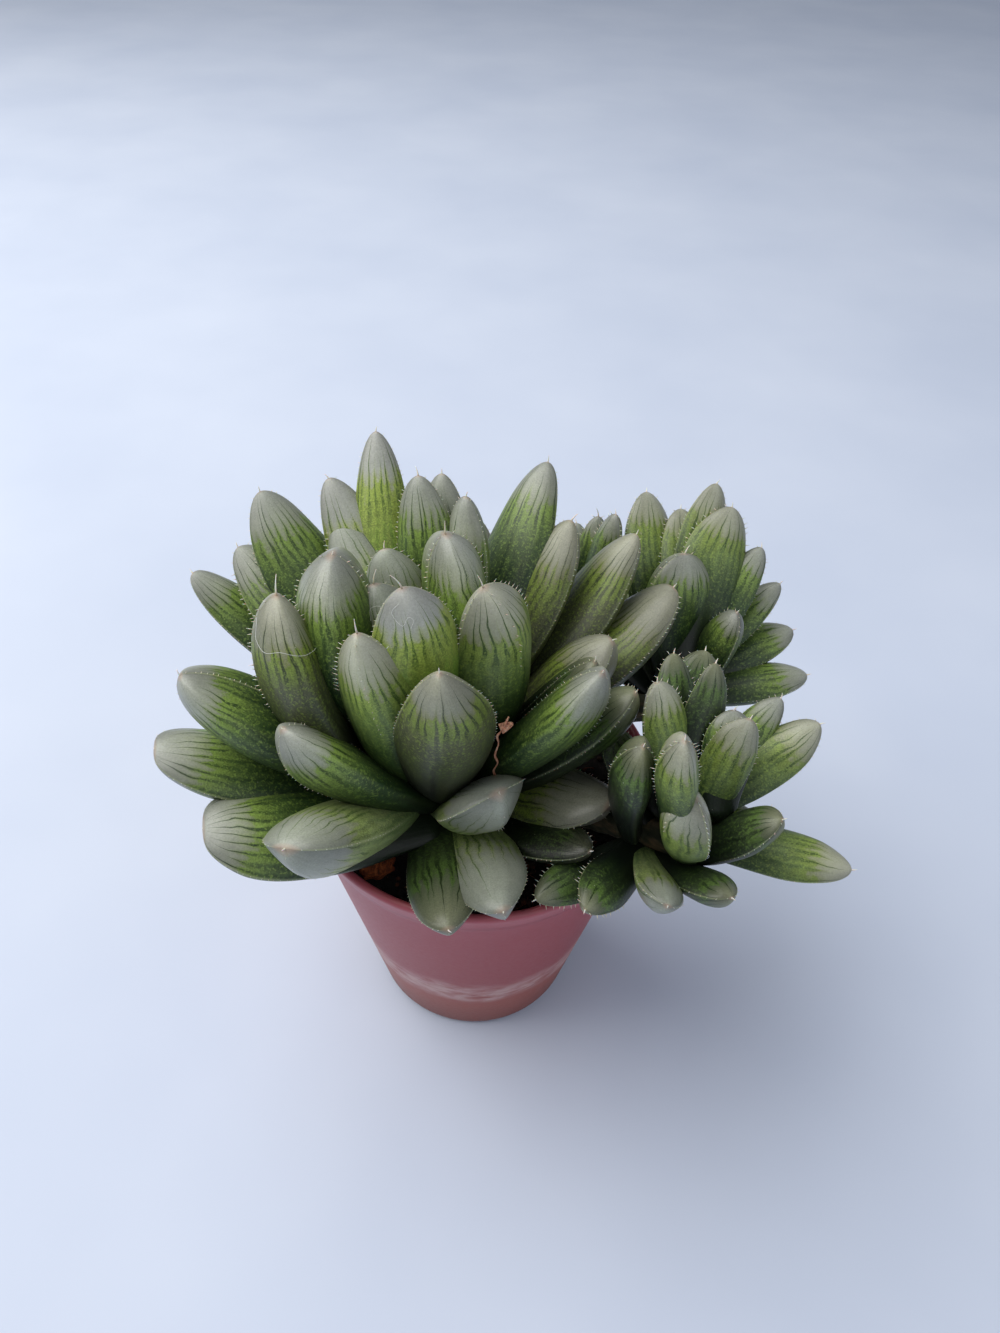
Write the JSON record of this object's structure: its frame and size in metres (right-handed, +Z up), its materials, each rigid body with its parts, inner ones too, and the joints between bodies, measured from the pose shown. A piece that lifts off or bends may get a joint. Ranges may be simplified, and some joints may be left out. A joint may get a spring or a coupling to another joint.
{
  "type": "potted haworthia",
  "caption": "Clump of haworthia rosettes with thick boat-shaped windowed leaves, growing in soil in a small round plastic nursery pot with a collared rim.",
  "frame": {"origin": "centre of the flat underside of the pot", "axes": "+Z up along the pot's axis, +X to the right and -Y to the front as the picture shows the plant"},
  "size_m": [0.0969, 0.0736, 0.0952],
  "materials": {
    "pot": "satin moulded polypropylene, terracotta red",
    "soil": "damp crumbly potting mix",
    "leaf": "smooth fleshy skin with pale windows and dark green veins",
    "bark": "rough broken bark",
    "dry_stalk": "papery dry plant stalk"
  },
  "bodies": {
    "root": {"pot": "pot", "soil": "soil", "rosette_main": "leaf", "rosette_front_right": "leaf", "rosette_back_right": "leaf", "rosette_back_small": "leaf", "bark_chip_1": "bark", "bark_chip_2": "bark", "bark_chip_3": "bark", "bark_chip_4": "bark", "bark_chip_5": "bark", "dry_stalk": "dry_stalk"}
  },
  "joints": []
}
